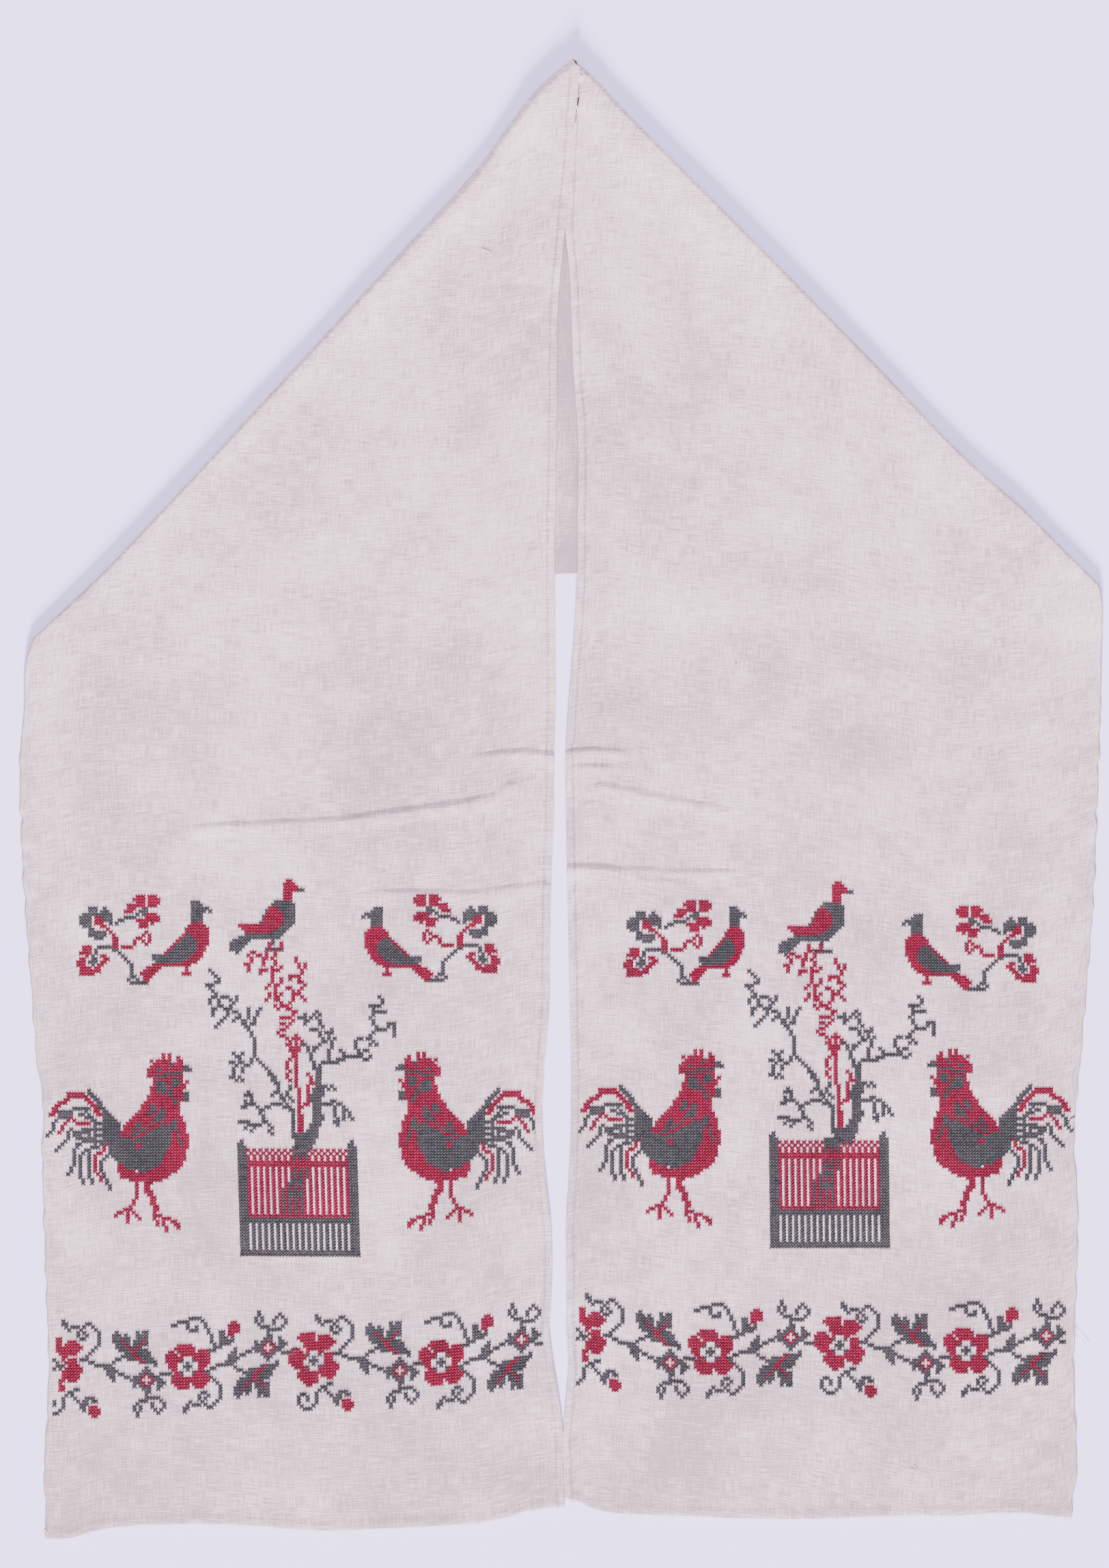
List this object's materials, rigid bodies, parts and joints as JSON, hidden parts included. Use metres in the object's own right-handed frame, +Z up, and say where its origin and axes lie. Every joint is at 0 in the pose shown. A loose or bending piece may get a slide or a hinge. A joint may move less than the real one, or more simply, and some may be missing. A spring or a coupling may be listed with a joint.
{
  "type": "rushnyk ritual towel",
  "caption": "Long embroidered linen ritual towel, folded on diagonals so that both ends lie side by side below a pointed top.",
  "frame": {"origin": "middle of the laid towel's box, on the surface that it lies on", "axes": "+Z up from the surface, +Y from the embroidered ends to the point of the folds, +X across both ends to the right"},
  "size_m": [0.7923, 1.0822, 0.0083],
  "materials": {
    "linen": "unbleached plain-weave linen",
    "red_thread": "red cotton cross-stitch thread",
    "grey_thread": "faded black cotton cross-stitch thread"
  },
  "bodies": {
    "root": {"towel_cloth": "linen"}
  },
  "joints": []
}
